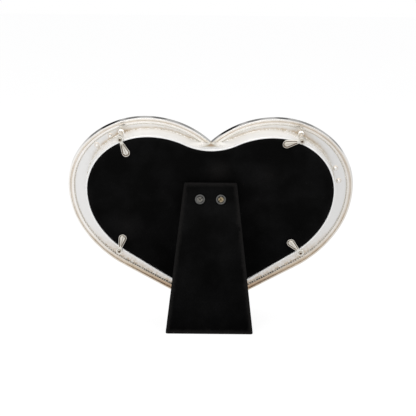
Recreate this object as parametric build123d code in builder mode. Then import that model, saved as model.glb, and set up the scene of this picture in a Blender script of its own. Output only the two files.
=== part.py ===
from build123d import *
from math import asin, cos, radians, sin, tan
import os

os.makedirs("parts", exist_ok=True)

# A heart shaped table frame in polished silver, seen here as it stands: the face leans back on
# its leg, the front looks along -Y, +Z is up and the origin is on the table, under the middle
# of its footprint. Lengths are in millimetres and angles in degrees.

# Stance
lean = 16.0                      # of the face, back from upright
leg_slope = 16.3                 # of the open leg, out from upright
leg_opening = lean + leg_slope   # between the face and the open leg

# Outline of the face
heart_width = 150.0
heart_height = 113.4             # from the sharp tip that the rounding takes off to the lobes
heart_slope = 30.6               # of the straight lower sides
tip_radius = 8.0
run_share = 0.615                # where the straight sides end, of the half width
side_share = 0.654               # height of the widest point, of the height
lobe_share = 0.451               # lobe top from the middle, of the half width
notch_share = 0.880              # height of the notch, of the height
lower_joint_share = 0.55         # where the two arcs of a lower corner meet
upper_joint_share = 0.45         # where the two arcs of a shoulder meet

# Rim between the outline of the face and that of the backing board
side_rim = 11.1
top_rim = 7.4
tip_rim = 11.3
board_slope = 33.8
board_tip_radius = 4.0
board_run_share = 0.68
board_side_share = 0.684
board_lobe_share = 0.504
board_notch_share = 0.843        # height of the notch before its rounding
board_notch_radius = 31.0
board_lower_joint_share = 0.52
board_upper_joint_share = 0.56

# Stepped border and sheet of the face
sheet = 1.0
front_relief = 0.8               # what stands out of the sheet in front
lip_width = 1.25
lip_height = 0.8
groove_width = 0.8
strip_width = 1.2
strip_height = 0.5
bead_width = 0.7
front_border_relief = 0.5
rail_width = 2.0                 # raised edge of the sight opening
rebate = 3.2                     # what the glass overlaps behind the sight opening

# Gallery, the wall that stands up from the back of the face and holds the glass and board
gallery_height = 9.7
gallery_wall = 0.8
board_fit = 0.15                 # round the board, the glass and the cards

# What lies in the gallery, from the front
glass = 2.0
photo = 0.3
spacer = 3.3
velvet = 0.4
velvet_recess = 0.2              # of the velvet below the gallery's edge
glass_inset = 0.1
photo_inset = 0.6

# Turn buttons and the posts that carry them
button_length = 10.3             # from the post to the tip
button_eye_radius = 1.85
button_tip_radius = 1.95
button_neck_radius = 1.05
button_neck_reach = 2.3
button_fillet = 0.7
button_thickness = 0.95
button_gap = 0.15                # between the gallery's edge and the button
post_radius = 1.1
post_seam = 0.05                 # solder between the post and the gallery
post_play = 0.05                 # over and under the button
rivet_shank_radius = 0.6
rivet_head_radius = 1.1
rivet_flat_radius = 0.6          # of the flat end of its head
rivet_head_height = 0.55
rivet_grip = 3.0                 # depth of the shank in the post
pivot_play = 0.05                # running clearance of a pin in its hole
lower_post_share = 0.18          # along the arc beside the straight side
upper_post_share = 0.35          # along the arc before the lobe's top
button_headings = {"upper_left": -68.4, "upper_right": 193.2, "lower_left": 76.0, "lower_right": 132.3}

# Ornaments on the front, each on a peg through the face
peg_radius = 0.9
peg_proud = 0.9                  # of the back of the face
peg_fit = 0.02
washer_radius = 1.5
washer = 0.35
upper_peg_inset = 5.7            # from the outline of the face
side_peg_inset = 7.5
upper_peg_shares = (0.36, 0.07)
side_peg_shares = (0.19, 0.52)
cup_radius = 2.25                # from the middle to the flats of its sides
cup_sides = 8
cup_wall = 0.33
cup_height = 1.6
pearl_radius = 1.9
pearl_rings = 4                  # bands from pole to pole that its round side is turned in

# Easel leg
hinge_share = 0.682              # height of its hinge up the face, of the face's height
leg_top_width = 27.2
leg_foot_width = 44.6
leg_thickness = 3.2
leg_corner_radius = 1.2
leg_stop_gap = 0.3               # between the leg's top edge and the board when it is open

# Hinge of the leg
hinge_leaf = 0.5
leaf_reach = 12.0                # down from the hinge line
leaf_corner = 1.5
hinge_width = 22.0
knuckle_radius = 0.9
knuckle_lift = 0.2               # of the knuckles over the board
knuckle_play = 0.25              # beside, below and over a knuckle
pin_radius = 0.45
rivet_fit = 0.02                 # round a shank that is held fast
board_rivet_spacing = 16.0
board_rivet_drop = 7.5           # below the hinge line
board_rivet_radius = 0.7
board_rivet_head_radius = 1.5
board_rivet_sink = 0.8           # of its spread end in the front of the board
board_rivet_head = 0.35

# Hollow rivets that show on the leg
leg_rivet_spacing = 10.8
leg_rivet_drop = 8.9             # below the leg's top edge
leg_rivet_radius = 1.5
leg_rivet_bore_radius = 1.15
leg_rivet_rim_radius = 2.72
leg_rivet_rim = 0.75             # height of the rolled rim
leg_rivet_rim_slant = 0.45       # its sides, drawn in towards the top
leg_rivet_head_radius = 2.2
leg_rivet_head = 0.35

overrun = 1.0

# Depths behind the frontmost plane of the face
band_back = front_relief + sheet
lip_back = band_back + lip_height
gallery_back = band_back + gallery_height
velvet_back = gallery_back - velvet_recess
glass_back = band_back + glass
photo_back = glass_back + photo
spacer_back = photo_back + spacer
button_front = gallery_back + button_gap
post_back = button_front - post_play
rivet_seat = button_front + button_thickness + post_play

# The hinge line over the velvet of the board and under the velvet of the leg. The leg reaches
# past it at the top, and stops with that edge on the board when it is open.
hinge_lift = knuckle_radius + knuckle_lift
leg_lift = knuckle_radius + knuckle_play
leg_outside = leg_lift + leg_thickness
hinge_height = heart_height * hinge_share
hinge_depth = velvet_back + hinge_lift
stop_reach = leg_lift * cos(radians(leg_opening)) + hinge_lift - leg_stop_gap
leg_overhang = stop_reach / sin(radians(leg_opening))

# Where the face stands: its rounded tip touches the table with the back edge of its lip
tip_height = tip_radius * (1 / cos(radians(heart_slope)) - 1)
face_rise = lip_back * sin(radians(lean)) - tip_height * cos(radians(lean))
hinge_rise = face_rise + hinge_height * cos(radians(lean)) - hinge_depth * sin(radians(lean))
hinge_back = hinge_height * sin(radians(lean)) + hinge_depth * cos(radians(lean))
leg_reach = (hinge_rise + leg_outside * sin(radians(leg_slope))) / cos(radians(leg_slope))
foot_back = hinge_back + hinge_rise * tan(radians(leg_slope)) + leg_outside / cos(radians(leg_slope))
border_front = front_relief - front_border_relief
front_edge = tip_height * sin(radians(lean)) + border_front * cos(radians(lean))
face_shift = -(front_edge + foot_back) / 2

# Sketches on the face are seen from the back, with y up the face and depths towards the back.
# Those on the leg have y up the leg from the hinge line, and depths out of the leg's back.
face_plane = Plane(
    origin=(0, face_shift, face_rise),
    x_dir=(-1, 0, 0),
    z_dir=(0, cos(radians(lean)), -sin(radians(lean))),
)
leg_plane = Plane(
    origin=(0, face_shift + hinge_back, hinge_rise),
    x_dir=(-1, 0, 0),
    z_dir=(0, cos(radians(leg_slope)), sin(radians(leg_slope))),
)
hinge_line = Plane(leg_plane.origin, x_dir=(0, 1, 0), z_dir=(1, 0, 0))
face_normal = Axis(face_plane.origin, face_plane.z_dir)


def save(part, name):
    """Labels a finished piece and writes its file."""
    part.label = name
    export_step(part, f"parts/{name}.step")


def two_arcs(start, heading, finish, turn, joint_share):
    """Two tangent arcs that leave start along the heading and turn by the given angle in all.

    They meet on the circle through both ends that turns as far as they do together.
    """
    guide_radius = (finish - start).length / (2 * sin(radians(turn) / 2))
    guide = RadiusArc(start, finish, -guide_radius, mode=Mode.PRIVATE)
    first = TangentArc(start, guide @ joint_share, tangent=heading)
    second = TangentArc(first @ 1, finish, tangent=first % 1)
    return first, second


def heart(base, half_width, top, slope, shares, joint_shares, tip_round, notch, notch_round):
    """A heart face with its sharp tip at height base, and the arcs of its right half."""
    run_end, side_height, lobe = shares
    tip = Vector(0, base)
    corner = Vector(half_width * run_end, base + half_width * run_end * tan(radians(slope)))
    side = Vector(half_width, side_height)
    crown = Vector(half_width * lobe, top)
    with BuildSketch() as outline:
        with BuildLine():
            straight = Line(tip, corner)
            lower, flank = two_arcs(corner, straight % 1, side, 90 - slope, joint_shares[0])
            shoulder, lobe_arc = two_arcs(side, (0, 1), crown, 90, joint_shares[1])
            TangentArc(crown, (0, notch), tangent=lobe_arc % 1)
            mirror(about=Plane.YZ)
        make_face()
        fillet(outline.vertices().sort_by(Axis.Y)[0], tip_round)
        if notch_round:
            fillet(outline.vertices().sort_by_distance((0, notch))[0], notch_round)
    return outline.sketch, {"lower": lower, "shoulder": shoulder, "lobe": lobe_arc}


face, face_arcs = heart(
    0,
    heart_width / 2,
    heart_height,
    heart_slope,
    (run_share, heart_height * side_share, lobe_share),
    (lower_joint_share, upper_joint_share),
    tip_radius,
    heart_height * notch_share,
    0,
)
board_height = heart_height - top_rim - tip_rim
board, board_arcs = heart(
    tip_rim,
    heart_width / 2 - side_rim,
    heart_height - top_rim,
    board_slope,
    (board_run_share, tip_rim + board_height * board_side_share, board_lobe_share),
    (board_lower_joint_share, board_upper_joint_share),
    board_tip_radius,
    tip_rim + board_height * board_notch_share,
    board_notch_radius,
)


def grown(outline, amount):
    """The face of an outline, moved out by amount, or in where that is negative."""
    return offset(outline, amount=amount, mode=Mode.PRIVATE)


def taper(foot, foot_radius, tip, tip_radius):
    """A face along X between two round ends, with straight sides that touch both."""
    lean_in = asin((tip_radius - foot_radius) / (tip - foot))
    side = [(x - r * sin(lean_in), r * cos(lean_in)) for x, r in ((foot, foot_radius), (tip, tip_radius))]
    with BuildSketch() as outline:
        with Locations((foot, 0)):
            Circle(foot_radius)
        with Locations((tip, 0)):
            Circle(tip_radius)
        Polygon(*side, *[(x, -y) for x, y in reversed(side)], align=None)
    return outline.sketch


def turned(profile, point, panel):
    """A solid from (radius, depth) corners, turned about the normal of a panel at a point."""
    foot = panel.from_local_coords(point)
    with BuildSketch(Plane(foot, x_dir=panel.x_dir, z_dir=-panel.y_dir)) as section:
        Polygon(*profile, align=None)
    revolve(section.sketch, axis=Axis(foot, panel.z_dir))


def beside(arc, share, distance, side):
    """A point at a distance outside an arc, on the right (1) or the left (-1) of the heart."""
    along = arc % share
    point = (arc @ share) + Vector(along.Y, -along.X) * distance
    return Vector(point.X * side, point.Y)


# Face: a sheet with a stepped border behind, and a raised border and a rail in front
board_edge = board_fit + gallery_wall
gallery_outline = grown(board, board_edge)
peg_points = [beside(face_arcs["lobe"], share, -upper_peg_inset, -1) for share in upper_peg_shares]
peg_points += [beside(face_arcs["shoulder"], share, -side_peg_inset, 1) for share in side_peg_shares]
strip_inset = lip_width + groove_width
border_width = strip_inset + strip_width
with BuildPart() as face_plate:
    with BuildSketch(face_plane.offset(front_relief)):
        add(face)
        add(grown(board, -rebate), mode=Mode.SUBTRACT)
    extrude(amount=sheet)
    with BuildSketch(face_plane.offset(band_back)):
        add(face)
        add(grown(face, -lip_width), mode=Mode.SUBTRACT)
        add(gallery_outline, mode=Mode.SUBTRACT)
    extrude(amount=lip_height)
    with BuildSketch(face_plane.offset(band_back)):
        add(grown(face, -strip_inset))
        add(grown(face, -border_width), mode=Mode.SUBTRACT)
        add(gallery_outline, mode=Mode.SUBTRACT)
    extrude(amount=strip_height)
    with BuildSketch(face_plane.offset(front_relief)):
        add(face)
        add(grown(face, -border_width), mode=Mode.SUBTRACT)
    extrude(amount=-front_border_relief)
    with BuildSketch(face_plane.offset(front_relief)):
        add(grown(board, rail_width - rebate))
        add(grown(board, -rebate), mode=Mode.SUBTRACT)
    extrude(amount=-front_relief)
    with BuildSketch(face_plane.offset(front_relief - front_border_relief - overrun)):
        with Locations(*peg_points):
            Circle(peg_radius + peg_fit)
    extrude(amount=front_border_relief + sheet + 2 * overrun, mode=Mode.SUBTRACT)
save(face_plate.part, "face_plate")

# Beaded wire at the foot of the border, soldered to the back of the face
with BuildPart() as border_beading:
    with BuildSketch(face_plane.offset(band_back)):
        add(grown(face, -border_width))
        add(grown(face, -border_width - bead_width), mode=Mode.SUBTRACT)
        add(gallery_outline, mode=Mode.SUBTRACT)
    extrude(amount=bead_width / 2)
save(border_beading.part, "border_beading")

# Gallery wall
with BuildPart() as gallery:
    with BuildSketch(face_plane.offset(band_back)):
        add(gallery_outline)
        add(grown(board, board_fit), mode=Mode.SUBTRACT)
    extrude(amount=gallery_height)
save(gallery.part, "gallery_wall")


def layer(name, inset, front, back):
    """A flat heart shaped sheet that fills the gallery between two depths."""
    with BuildPart() as flat:
        with BuildSketch(face_plane.offset(front)):
            add(grown(board, -inset))
        extrude(amount=back - front)
    save(flat.part, name)


layer("glass_pane", glass_inset, band_back, glass_back)
layer("photo_sheet", photo_inset, glass_back, photo_back)
layer("spacer_card", photo_inset, photo_back, spacer_back)

# Backing board, with the seats of the two rivets that hold the hinge
board_rivet_points = [
    Vector(side * board_rivet_spacing / 2, hinge_height - board_rivet_drop) for side in (-1, 1)
]
with BuildPart() as backing_board:
    with BuildSketch(face_plane.offset(spacer_back)):
        add(grown(board, -velvet))
    extrude(amount=velvet_back - velvet - spacer_back)
    with BuildSketch(face_plane.offset(spacer_back)):
        with Locations(*board_rivet_points):
            Circle(board_rivet_radius + rivet_fit)
    extrude(amount=velvet_back - spacer_back, mode=Mode.SUBTRACT)
    rivet_mouths = backing_board.faces().sort_by(face_normal)[0].inner_wires()
    chamfer([edge for mouth in rivet_mouths for edge in mouth.edges()], board_rivet_sink)
save(backing_board.part, "backing_board")

# Velvet glued over the back and the edges of the board
with BuildPart() as board_velvet:
    with BuildSketch(face_plane.offset(spacer_back)):
        add(board)
    extrude(amount=velvet_back - spacer_back)
    with BuildSketch(face_plane.offset(spacer_back)):
        add(grown(board, -velvet))
    extrude(amount=velvet_back - velvet - spacer_back, mode=Mode.SUBTRACT)
    with BuildSketch(face_plane.offset(spacer_back)):
        with Locations(*board_rivet_points):
            Circle(board_rivet_radius + rivet_fit)
    extrude(amount=velvet_back - spacer_back, mode=Mode.SUBTRACT)
save(board_velvet.part, "board_velvet")

# Posts soldered to the outside of the gallery, one at each turn button
post_distance = board_edge + post_seam + post_radius
post_points = {
    "upper_left": beside(board_arcs["lobe"], upper_post_share, post_distance, -1),
    "upper_right": beside(board_arcs["lobe"], upper_post_share, post_distance, 1),
    "lower_left": beside(board_arcs["lower"], lower_post_share, post_distance, -1),
    "lower_right": beside(board_arcs["lower"], lower_post_share, post_distance, 1),
}
for place, point in post_points.items():
    with BuildPart() as post:
        with BuildSketch(face_plane.offset(band_back)):
            with Locations(point):
                Circle(post_radius)
        extrude(amount=post_back - band_back)
        with BuildSketch(face_plane.offset(post_back - rivet_grip)):
            with Locations(point):
                Circle(rivet_shank_radius)
        extrude(amount=rivet_grip, mode=Mode.SUBTRACT)
    save(post.part, f"button_post_{place}")

# Rivets on which the buttons turn
button_rivet_profile = [
    (0, post_back - rivet_grip),
    (rivet_shank_radius, post_back - rivet_grip),
    (rivet_shank_radius, rivet_seat),
    (rivet_head_radius, rivet_seat),
    (rivet_flat_radius, rivet_seat + rivet_head_height),
    (0, rivet_seat + rivet_head_height),
]
with BuildPart() as button_rivets:
    for point in post_points.values():
        turned(button_rivet_profile, point, face_plane)
save(button_rivets.part, "turn_button_rivets")

# Turn buttons: teardrop blades
blade_tip = button_length - button_tip_radius
with BuildSketch() as blade:
    add(taper(button_neck_reach, button_neck_radius, blade_tip, button_tip_radius))
    Circle(button_eye_radius)
    fillet(blade.vertices().filter_by_position(Axis.X, 0, button_eye_radius), button_fillet)
for place, point in post_points.items():
    pivot = face_plane.from_local_coords(point + Vector(0, 0, button_front))
    heading = radians(button_headings[place])
    blade_dir = face_plane.x_dir * cos(heading) + face_plane.y_dir * sin(heading)
    button_plane = Plane(pivot, x_dir=blade_dir, z_dir=face_plane.z_dir)
    with BuildPart() as button:
        with BuildSketch(button_plane):
            add(blade.sketch)
            Circle(rivet_shank_radius + pivot_play, mode=Mode.SUBTRACT)
        extrude(amount=button_thickness)
    save(button.part, f"turn_button_{place}")

# Ornaments: an eight sided cup on a peg through the face, with a pearl in it, and a washer behind
pearl_turns = [180 * (ring + 0.5) / pearl_rings for ring in range(pearl_rings)]
pearl_seat = pearl_radius * cos(radians(pearl_turns[0]))
pearl_depth = front_relief - cup_wall - peg_fit - pearl_seat
pearl_bands = [
    (pearl_radius * sin(radians(turn)), pearl_depth + pearl_radius * cos(radians(turn)))
    for turn in pearl_turns
]
for number, point in enumerate(peg_points, start=1):
    with BuildPart() as cup:
        with BuildSketch(face_plane.offset(front_relief)):
            with Locations(point):
                Circle(peg_radius)
        extrude(amount=sheet + peg_proud)
        with BuildSketch(face_plane.offset(front_relief)):
            with Locations(point):
                RegularPolygon(cup_radius, cup_sides, major_radius=False)
        extrude(amount=-cup_height)
        with BuildSketch(face_plane.offset(front_relief - cup_wall)):
            with Locations(point):
                RegularPolygon(cup_radius - cup_wall, cup_sides, major_radius=False)
        extrude(amount=-cup_height, mode=Mode.SUBTRACT)
    save(cup.part, f"ornament_cup_{number}")
    with BuildPart() as pearl:
        turned([(0, pearl_bands[0][1]), *pearl_bands, (0, pearl_bands[-1][1])], point, face_plane)
    save(pearl.part, f"ornament_pearl_{number}")
peg_bore = peg_radius + peg_fit
washer_profile = [(peg_bore, band_back), (washer_radius, band_back), (peg_bore, band_back + washer)]
with BuildPart() as peg_washers:
    for point in peg_points:
        turned(washer_profile, point, face_plane)
save(peg_washers.part, "peg_washers")


def knuckle(first, last):
    """A rolled knuckle from first to last along the hinge line."""
    with BuildSketch(hinge_line.offset(first)) as roll:
        Circle(knuckle_radius)
    extrude(roll.sketch, amount=last - first)


# Hinge of the leg: three knuckles on a pin, two of the board's leaf and one of the leg's
knuckle_half = hinge_width / 6
knuckle_room = knuckle_radius + knuckle_play
outer_knuckle = hinge_width / 2 - knuckle_half - knuckle_play
with BuildPart() as board_leaf:
    with BuildSketch(face_plane.offset(velvet_back)) as leaf_outline:
        with Locations((0, hinge_height)):
            Rectangle(hinge_width, leaf_reach, align=(Align.CENTER, Align.MAX))
        fillet(leaf_outline.vertices().group_by(Axis.Y)[0], leaf_corner)
        with Locations((0, hinge_height)):
            Rectangle(hinge_width - 2 * outer_knuckle, 2 * knuckle_room, mode=Mode.SUBTRACT)
        with Locations(*board_rivet_points):
            Circle(board_rivet_radius + rivet_fit, mode=Mode.SUBTRACT)
    extrude(amount=hinge_leaf)
    knuckle(-hinge_width / 2, outer_knuckle - hinge_width / 2)
    knuckle(hinge_width / 2 - outer_knuckle, hinge_width / 2)
    with BuildSketch(hinge_line.offset(-hinge_width / 2)):
        Circle(pin_radius + pivot_play)
    extrude(amount=hinge_width, mode=Mode.SUBTRACT)
save(board_leaf.part, "hinge_board_leaf")

leg_rivet_height = leg_overhang - leg_rivet_drop
leg_rivet_points = [Vector(side * leg_rivet_spacing / 2, leg_rivet_height) for side in (-1, 1)]
with BuildPart() as leg_leaf:
    with BuildSketch(leg_plane.offset(leg_lift - hinge_leaf)) as leaf_outline:
        Rectangle(hinge_width, leaf_reach, align=(Align.CENTER, Align.MAX))
        fillet(leaf_outline.vertices().group_by(Axis.Y)[0], leaf_corner)
        with Locations((-hinge_width / 2, 0), (hinge_width / 2, 0)):
            Rectangle(2 * (outer_knuckle + knuckle_play), 2 * knuckle_room, mode=Mode.SUBTRACT)
        with Locations(*leg_rivet_points):
            Circle(leg_rivet_radius + rivet_fit, mode=Mode.SUBTRACT)
    extrude(amount=hinge_leaf)
    knuckle(-knuckle_half, knuckle_half)
    with BuildSketch(hinge_line.offset(-hinge_width / 2)):
        Circle(pin_radius + pivot_play)
    extrude(amount=hinge_width, mode=Mode.SUBTRACT)
save(leg_leaf.part, "hinge_leg_leaf")

with BuildPart() as hinge_pin:
    with BuildSketch(hinge_line.offset(-hinge_width / 2)):
        Circle(pin_radius)
    extrude(amount=hinge_width)
save(hinge_pin.part, "hinge_pin")

# Rivets that hold the hinge to the board, their inner heads sunk in its front
leaf_back = velvet_back + hinge_leaf
board_rivet_profile = [
    (0, spacer_back),
    (board_rivet_radius + board_rivet_sink, spacer_back),
    (board_rivet_radius, spacer_back + board_rivet_sink),
    (board_rivet_radius, leaf_back),
    (board_rivet_head_radius, leaf_back),
    (board_rivet_head_radius, leaf_back + board_rivet_head),
    (0, leaf_back + board_rivet_head),
]
with BuildPart() as board_rivets:
    for point in board_rivet_points:
        turned(board_rivet_profile, point, face_plane)
save(board_rivets.part, "hinge_board_rivets")


def leg_panel(margin):
    """The leg's tapered panel, drawn in by a margin all round and cut level at its foot."""
    with BuildSketch(leg_plane.offset(leg_lift + margin)) as panel:
        Polygon(
            (-leg_top_width / 2, leg_overhang),
            (leg_top_width / 2, leg_overhang),
            (leg_foot_width / 2, -leg_reach),
            (-leg_foot_width / 2, -leg_reach),
            align=None,
        )
        fillet(panel.vertices(), leg_corner_radius)
        if margin:
            offset(amount=-margin)
        with Locations(*leg_rivet_points):
            Circle(leg_rivet_radius + rivet_fit, mode=Mode.SUBTRACT)
    extrude(panel.sketch, amount=leg_thickness - 2 * margin)
    split(bisect_by=Plane.XY.offset(margin), keep=Keep.TOP)


# Easel leg: a stiff core wrapped in velvet
with BuildPart() as leg_core:
    leg_panel(velvet)
save(leg_core.part, "leg_core")
with BuildPart() as leg_velvet:
    leg_panel(0)
    add(leg_core.part, mode=Mode.SUBTRACT)
save(leg_velvet.part, "leg_velvet")

# Hollow rivets through the leg, rolled over on its velvet
leg_rivet_foot = leg_lift - hinge_leaf
leg_rivet_top = leg_outside + leg_rivet_rim
leg_rivet_profile = [
    (leg_rivet_bore_radius, leg_rivet_foot - leg_rivet_head),
    (leg_rivet_head_radius, leg_rivet_foot - leg_rivet_head),
    (leg_rivet_head_radius, leg_rivet_foot),
    (leg_rivet_radius, leg_rivet_foot),
    (leg_rivet_radius, leg_outside),
    (leg_rivet_rim_radius, leg_outside),
    (leg_rivet_rim_radius - leg_rivet_rim_slant, leg_rivet_top),
    (leg_rivet_bore_radius + leg_rivet_rim_slant, leg_rivet_top),
    (leg_rivet_bore_radius, leg_outside),
]
with BuildPart() as leg_rivets:
    for point in leg_rivet_points:
        turned(leg_rivet_profile, point, leg_plane)
save(leg_rivets.part, "leg_rivets")
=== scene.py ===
from functools import cached_property
from math import acos, asin, atan2, ceil, cos, hypot, pi, radians, sin, sqrt, tan

import bmesh
import bpy
import numpy as np
from mathutils import Matrix, Vector
from mathutils.geometry import delaunay_2d_cdt


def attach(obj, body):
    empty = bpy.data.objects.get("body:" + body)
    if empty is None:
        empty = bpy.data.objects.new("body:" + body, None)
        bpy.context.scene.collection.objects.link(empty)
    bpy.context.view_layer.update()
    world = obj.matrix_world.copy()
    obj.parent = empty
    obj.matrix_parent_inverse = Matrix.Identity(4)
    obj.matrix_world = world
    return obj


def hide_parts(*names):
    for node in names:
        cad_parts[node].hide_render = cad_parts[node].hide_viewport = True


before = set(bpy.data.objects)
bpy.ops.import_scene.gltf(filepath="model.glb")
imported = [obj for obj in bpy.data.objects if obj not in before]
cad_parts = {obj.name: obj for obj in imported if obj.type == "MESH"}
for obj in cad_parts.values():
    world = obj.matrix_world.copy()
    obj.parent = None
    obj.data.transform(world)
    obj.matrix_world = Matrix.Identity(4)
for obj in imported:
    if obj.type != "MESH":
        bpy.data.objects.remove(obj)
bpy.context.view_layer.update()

# Sizes of the frame, in millimetres and degrees, as the model has them
MM = 0.001
LEAN, LEG_SLOPE = 16.0, 16.3
SHEET, FRONT_RELIEF, BORDER_FRONT = 1.0, 0.8, 0.3
LIP, LIP_HEIGHT, GROOVE, STRIP, STRIP_HEIGHT, BEAD = 1.25, 0.8, 0.8, 1.2, 0.5, 0.7
BAND = FRONT_RELIEF + SHEET
BORDER = LIP + GROOVE + STRIP
GALLERY, WALL, FIT = 9.7, 0.8, 0.15
RIM = BAND + GALLERY
REBATE, RAIL = 3.2, 2.0
VELVET_BACK, SPACER_BACK = RIM - 0.2, 7.4
GLASS_BACK, PHOTO_BACK = 3.8, 4.1
BUTTON_FRONT, BUTTON_SHEET, BUTTON_EDGE = RIM + 0.15, 0.66, 0.29
POST_RADIUS, POST_BACK = 1.1, RIM + 0.1
SHANK, POST_HOLE, BUTTON_HOLE = 0.58, 0.61, 0.65
HOLE_END, SHANK_END = POST_BACK - 2.9, POST_BACK - 2.85
EYE, NECK_AT, NECK, TIP_AT, TIP = 1.85, 2.3, 1.0, 7.95, 2.15
HEADINGS = {"upper_left": -68.4, "upper_right": 193.2, "lower_left": 76.0, "lower_right": 132.3}
LEG_TOP, LEG_FOOT, LEG_THICK, LEG_LIFT, LEG_CORNER = 27.2, 44.6, 3.2, 1.15, 1.2
LEG_OVERHANG, LEG_REACH = 3.31626, 74.61754
LEG_RIVET_X, LEG_RIVET_DOWN = 5.4, 8.9
EYELET_RIM = 2.6
PEG, PEARL = 0.9, 1.77

# Sides of what is turned round an axis
CUP_SIDES, DRILL_SIDES, AROUND = 8, 32, 48

FACE_AT = np.array([0.0, -29.500029, -0.527510])
LEG_AT = np.array([0.0, 3.737083, 70.397399])


def bell(value, width):
    """1 at zero, falling off on both sides over a width."""
    return np.exp(-((value / width) ** 2))


def fade(value, start, end):
    """0 up to start and 1 from end on."""
    return np.clip((value - start) / (end - start), 0, 1)


def axes(angle, side):
    """The two directions in a leaning panel and its normal, for a lean back (1) or out (-1)."""
    c, s = cos(radians(angle)), sin(radians(angle)) * side
    return np.array([[-1.0, 0, 0], [0, s, c], [0, c, -s]])


FACE_AXES, LEG_AXES = axes(LEAN, 1), axes(LEG_SLOPE, -1)


def on_face(points):
    """Points across, up and behind the face, put in their place."""
    return (FACE_AT + np.asarray(points, float) @ FACE_AXES) * MM


def on_leg(points):
    """Points across, up and out of the leg from its hinge, put in their place."""
    return (LEG_AT + np.asarray(points, float) @ LEG_AXES) * MM


# Outlines of the heart


def arc_to(start, heading, end):
    """Centre, radius, first and last angle of the left arc from start along heading to end."""
    left = np.array([-heading[1], heading[0]])
    chord = end - start
    radius = chord @ chord / (2 * chord @ left)
    centre = start + radius * left
    a, b = (atan2(*(p - centre)[::-1]) for p in (start, end))
    return centre, radius, a, b + 2 * pi * (b < a - 1e-9)


def leaves(arc):
    """The heading at an arc's end."""
    return np.array([-sin(arc[3]), cos(arc[3])])


def two_arcs(start, heading, end, turn, share):
    """Two arcs that touch, from start along heading to end, where they have turned by an angle."""
    chord = end - start
    length = hypot(*chord)
    guide = length / (2 * sin(radians(turn) / 2))
    left = np.array([-chord[1], chord[0]]) / length
    centre = (start + end) / 2 + left * sqrt(guide**2 - length**2 / 4)
    a = radians(turn) * share
    x, y = start - centre
    joint = centre + np.array([x * cos(a) - y * sin(a), x * sin(a) + y * cos(a)])
    first = arc_to(start, heading, joint)
    return first, arc_to(joint, leaves(first), end)


class Heart:
    """A heart outline: its points and outward normals, from its tip round."""

    def __init__(self, base, half, top, slope, shares, joints, tip, notch, notch_radius, step=0.45):
        run, side_height, lobe = shares
        s = radians(slope)
        corner = np.array([half * run, base + half * run * tan(s)])
        side, crown = np.array([half, side_height]), np.array([half * lobe, top])
        tip_centre = np.array([0, base + tip / cos(s)])
        self.lower = two_arcs(corner, np.array([cos(s), sin(s)]), side, 90 - slope, joints[0])
        self.upper = two_arcs(side, np.array([0.0, 1.0]), crown, 90, joints[1])
        inner = arc_to(crown, leaves(self.upper[1]), np.array([0, notch]))
        down = np.array([sin(s), -cos(s)])
        start = tip_centre + tip * down
        turned = [(*arc, 1) for arc in (*self.lower, *self.upper)]
        if notch_radius:
            height = inner[0][1] + sqrt((inner[1] + notch_radius) ** 2 - inner[0][0] ** 2)
            meet = atan2(height - inner[0][1], -inner[0][0])
            turned.append((inner[0], inner[1], inner[2], meet, 1))
            turned.append((np.array([0, height]), notch_radius, meet - pi, -pi / 2, -1))
            last, upward = np.array([0, height - notch_radius]), np.array([0.0, 1.0])
        else:
            turned.append((*inner, 1))
            last, upward = np.array([0.0, notch]), np.array([0, 1 / sin(inner[3])])
        points, normals = [], []

        def bend(centre, radius, a, b, way):
            count = max(6, ceil(abs(b - a) * radius / step))
            for k in range(count):
                t = a + (b - a) * k / count
                spoke = np.array([cos(t), sin(t)])
                points.append(centre + radius * spoke)
                normals.append(spoke * way)

        bend(tip_centre, tip, -pi / 2, -pi / 2 + s, 1)
        count = ceil(hypot(*(corner - start)) / step)
        for k in range(count):
            points.append(start + (corner - start) * k / count)
            normals.append(down)
        for arc in turned:
            bend(*arc)
        points, normals = np.array([*points, last]), np.array([*normals, upward])
        flip = np.array([-1, 1])
        self.points = np.vstack([points, points[-2:0:-1] * flip])
        self.normals = np.vstack([normals, normals[-2:0:-1] * flip])

    def grown(self, amount):
        """The points moved outwards."""
        return self.points + self.normals * np.asarray(amount).reshape(-1, 1)

    def outside(self, points, amount=0.0):
        """How far points lie outside the outline grown by an amount."""
        out = []
        for chunk in np.array_split(np.atleast_2d(points), max(1, len(points) // 500)):
            away = chunk[:, None] - self.points[None]
            near = np.argmin((away**2).sum(2), 1)
            out.append((away[np.arange(len(chunk)), near] * self.normals[near]).sum(1))
        return np.concatenate(out) - amount


def beside(arc, share, distance, side):
    """A point at a distance outside a share of an arc, on the right (1) or the left (-1)."""
    t = arc[2] + (arc[3] - arc[2]) * share
    x, y = arc[0] + (arc[1] + distance) * np.array([cos(t), sin(t)])
    return np.array([x * side, y])


face = Heart(base=0, half=75.0, top=113.4, slope=30.6, shares=(0.615, 113.4 * 0.654, 0.451),
             joints=(0.55, 0.45), tip=8.0, notch=113.4 * 0.880, notch_radius=0)
board = Heart(base=11.3, half=63.9, top=106.0, slope=33.8,
              shares=(0.68, 11.3 + 94.7 * 0.684, 0.504), joints=(0.52, 0.56), tip=4.0,
              notch=11.3 + 94.7 * 0.843, notch_radius=31.0)
OUTSIDE = FIT + WALL


# Shaders


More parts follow.
